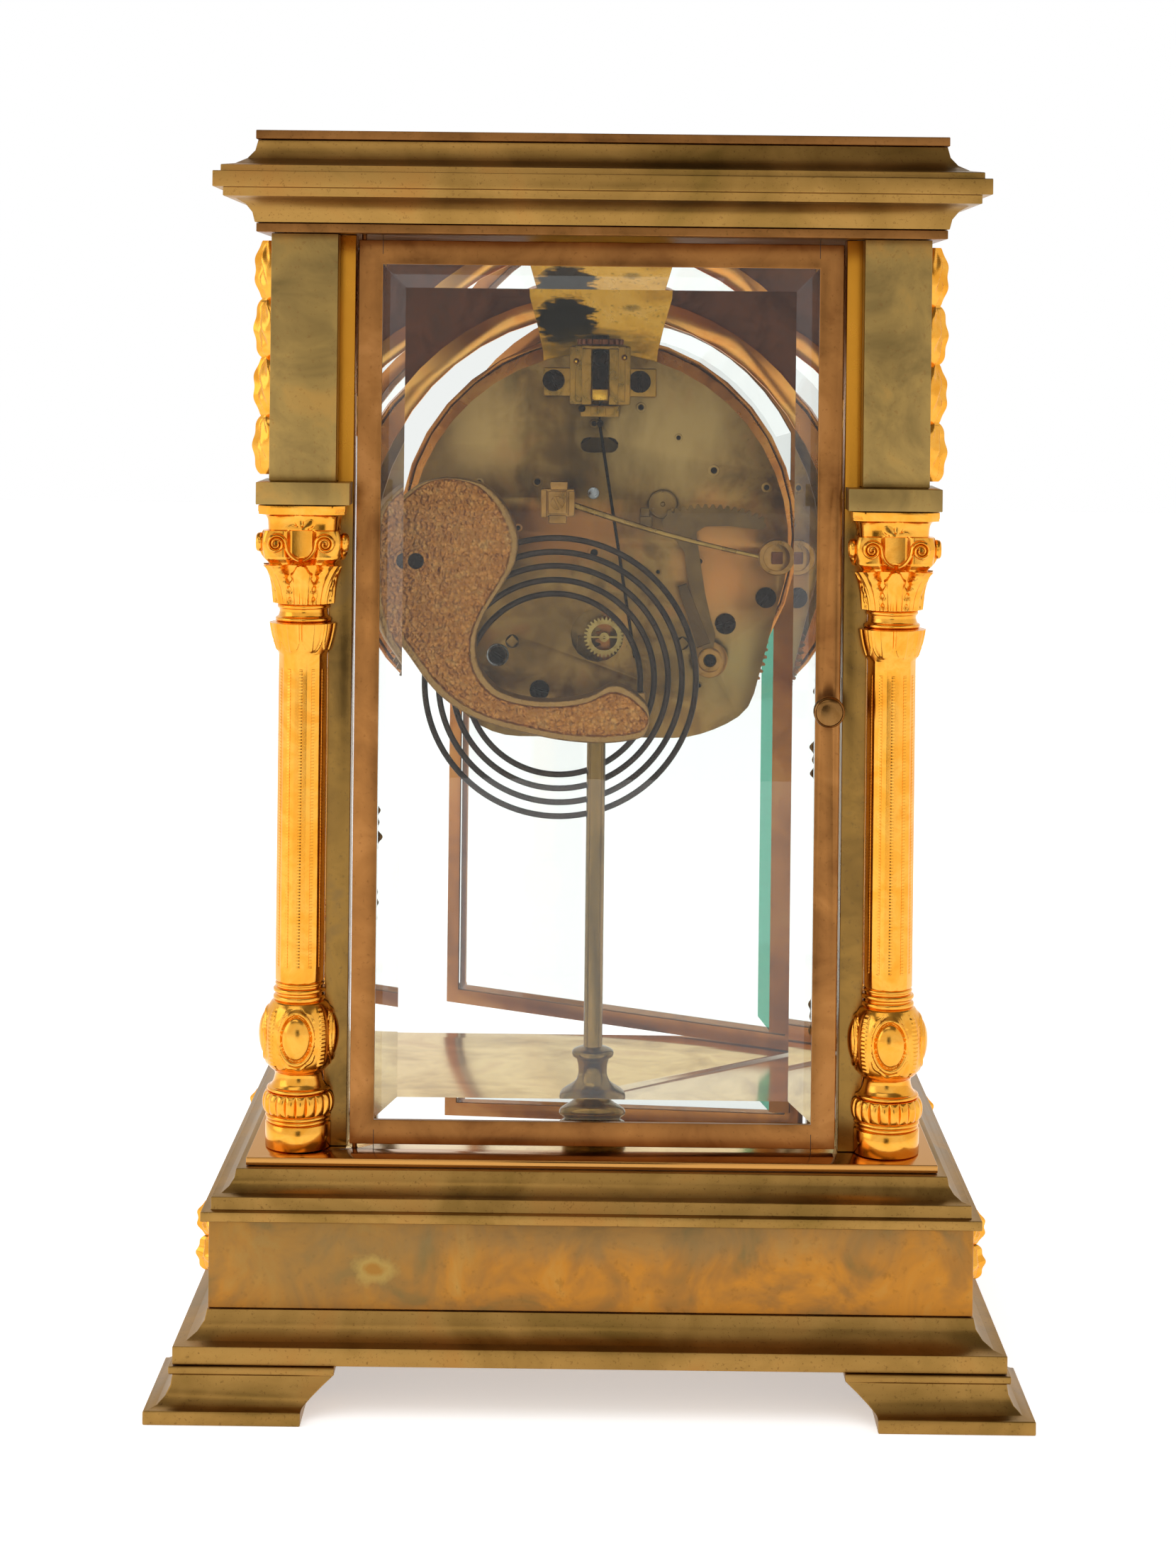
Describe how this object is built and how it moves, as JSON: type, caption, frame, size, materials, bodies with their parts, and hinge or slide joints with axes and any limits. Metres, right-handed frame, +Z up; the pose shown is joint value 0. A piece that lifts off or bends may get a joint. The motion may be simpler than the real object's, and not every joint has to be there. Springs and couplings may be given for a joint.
{
  "type": "crystal regulator clock",
  "caption": "Brass and glass mantel clock: moulded base and cornice, gilt corner columns, hinged bevelled glass doors front and rear, arched door, geared striking movement with spiral gong.",
  "frame": {"origin": "middle of the outer box, at the height of the surface that the feet stand on", "axes": "+Z up; the dial faces -Y and the rear door faces +Y; +X is to the left of someone who looks at the rear door"},
  "size_m": [0.3178, 0.302, 0.4635],
  "materials": {
    "aged_brass": "old brown and olive patina over brass, satin",
    "gilt": "bright orange fire gilding, soft gloss",
    "yellow_brass": "polished yellow brass",
    "copper_brass": "copper brown lacquered brass, brushed",
    "dark_bronze": "dark brown patina, matt",
    "clear_glass": "clear plate glass with ground and polished bevels",
    "plate_brass": "old machined brass with fine scratches",
    "blued_steel": "dark blued steel",
    "gong_steel": "hardened dark steel wire",
    "gong_gold": "rough cast block bronzed gold",
    "enamel": "cream fired enamel, glossy"
  },
  "bodies": {
    "case": {"foot_front_left": "aged_brass", "foot_front_right": "aged_brass", "foot_rear_left": "aged_brass", "foot_rear_right": "aged_brass", "lower_moulding": "aged_brass", "frieze_box": "aged_brass", "upper_moulding": "aged_brass", "floor_plate": "aged_brass", "pier_front_left": "aged_brass", "pier_front_right": "aged_brass", "pier_rear_left": "aged_brass", "pier_rear_right": "aged_brass", "architrave_plate": "aged_brass", "cornice": "aged_brass", "top_plate": "aged_brass", "column_front_left": "gilt", "column_front_right": "gilt", "column_rear_left": "gilt", "column_rear_right": "gilt", "pier_mount_front_left": "gilt", "pier_mount_front_right": "gilt", "pier_mount_rear_left": "gilt", "pier_mount_rear_right": "gilt", "post_front_left": "yellow_brass", "post_front_right": "yellow_brass", "post_rear_left": "yellow_brass", "post_rear_right": "yellow_brass", "hanger_bracket": "yellow_brass", "arch_band": "copper_brass", "bezel": "copper_brass", "spandrel_plate": "dark_bronze", "side_glass_left": "clear_glass", "side_glass_right": "clear_glass", "back_plate": "plate_brass", "front_plate": "plate_brass", "suspension_cock": "plate_brass", "gong_stand": "plate_brass", "suspension_spring": "blued_steel", "gong_coil": "gong_steel", "gong_block": "gong_gold", "dial": "enamel"},
    "front_door": {"front_door_frame": "copper_brass", "front_door_glass": "clear_glass"},
    "rear_door": {"rear_door_frame": "copper_brass", "rear_door_glass": "clear_glass"},
    "rear_knob": {"rear_door_knob": "copper_brass"},
    "minute_arbor": {"centre_wheel": "plate_brass", "minute_hand": "blued_steel"},
    "hour_arbor": {"hour_hand": "blued_steel"},
    "time_great_arbor": {"time_great_wheel": "plate_brass"},
    "time_second_arbor": {"time_second_wheel": "plate_brass"},
    "third_arbor": {"third_wheel": "plate_brass"},
    "escape_arbor": {"escape_wheel": "plate_brass"},
    "strike_great_arbor": {"strike_great_wheel": "plate_brass"},
    "strike_second_arbor": {"strike_second_wheel": "plate_brass"},
    "gathering_arbor": {"gathering_wheel": "plate_brass"},
    "pallet_arbor": {"crutch": "blued_steel"},
    "hammer_arm": {"hammer": "plate_brass"},
    "rack_arm": {"rack": "plate_brass"},
    "rating_screw": {"rating_wheel": "plate_brass"}
  },
  "joints": [
    {"name": "front_door_hinge", "type": "hinge", "parent": "case", "child": "front_door", "pos_m": [-0.0864, -0.05375, 0.0874], "axis": [0, 0, -1], "range_deg": [-30, 60]},
    {"name": "rear_door_hinge", "type": "hinge", "parent": "case", "child": "rear_door", "pos_m": [0.0882, 0.10425, 0.0887], "axis": [0, 0, -1], "range_deg": [0, 90]},
    {"name": "rear_latch", "type": "hinge", "parent": "rear_door", "child": "rear_knob", "pos_m": [-0.08555, 0.10625, 0.2518], "axis": [0, -1, 0], "range_deg": [0, 90]},
    {"name": "minute_spin", "type": "hinge", "parent": "case", "child": "minute_arbor", "pos_m": [0, 0.03725, 0.3084], "axis": [0, 1, 0], "continuous": true},
    {"name": "hour_spin", "type": "hinge", "parent": "case", "child": "hour_arbor", "pos_m": [0, 0.03725, 0.3084], "axis": [0, 1, 0], "continuous": true},
    {"name": "time_great_spin", "type": "hinge", "parent": "case", "child": "time_great_arbor", "pos_m": [0.0335, 0.03725, 0.2693], "axis": [0, 1, 0], "continuous": true},
    {"name": "time_second_spin", "type": "hinge", "parent": "case", "child": "time_second_arbor", "pos_m": [0.00283, 0.03725, 0.28816], "axis": [0, 1, 0], "continuous": true},
    {"name": "third_spin", "type": "hinge", "parent": "case", "child": "third_arbor", "pos_m": [0.01394, 0.03725, 0.32072], "axis": [0, 1, 0], "continuous": true},
    {"name": "escape_spin", "type": "hinge", "parent": "case", "child": "escape_arbor", "pos_m": [0, 0.03725, 0.3279], "axis": [0, 1, 0], "continuous": true},
    {"name": "strike_great_spin", "type": "hinge", "parent": "case", "child": "strike_great_arbor", "pos_m": [-0.0335, 0.03725, 0.2693], "axis": [0, 1, 0], "continuous": true},
    {"name": "strike_second_spin", "type": "hinge", "parent": "case", "child": "strike_second_arbor", "pos_m": [-0.03335, 0.03725, 0.3053], "axis": [0, 1, 0], "continuous": true},
    {"name": "gathering_spin", "type": "hinge", "parent": "case", "child": "gathering_arbor", "pos_m": [-0.0251, 0.03725, 0.324], "axis": [0, 1, 0], "continuous": true},
    {"name": "crutch_swing", "type": "hinge", "parent": "case", "child": "pallet_arbor", "pos_m": [0, 0.03725, 0.3553], "axis": [0, 1, 0], "range_deg": [-3, 3]},
    {"name": "hammer_lift", "type": "hinge", "parent": "case", "child": "hammer_arm", "pos_m": [-0.0688, 0.03925, 0.305], "axis": [0, -1, 0], "range_deg": [-2, 12]},
    {"name": "rack_fall", "type": "hinge", "parent": "case", "child": "rack_arm", "pos_m": [-0.0441, 0.03925, 0.2634], "axis": [0, 1, 0], "range_deg": [0, 20]},
    {"name": "rating_turn", "type": "hinge", "parent": "case", "child": "rating_screw", "pos_m": [0, 0.04685, 0.386], "axis": [0, 0, 1], "continuous": true}
  ],
  "couplings": [
    {"joint": "hour_spin", "follows": "minute_spin", "ratio": 0.083333},
    {"joint": "time_second_spin", "follows": "minute_spin", "ratio": -0.16667},
    {"joint": "time_great_spin", "follows": "minute_spin", "ratio": 0.020833},
    {"joint": "third_spin", "follows": "minute_spin", "ratio": -6.75},
    {"joint": "escape_spin", "follows": "minute_spin", "ratio": 40.5},
    {"joint": "strike_second_spin", "follows": "strike_great_spin", "ratio": -8},
    {"joint": "gathering_spin", "follows": "strike_great_spin", "ratio": 48}
  ]
}
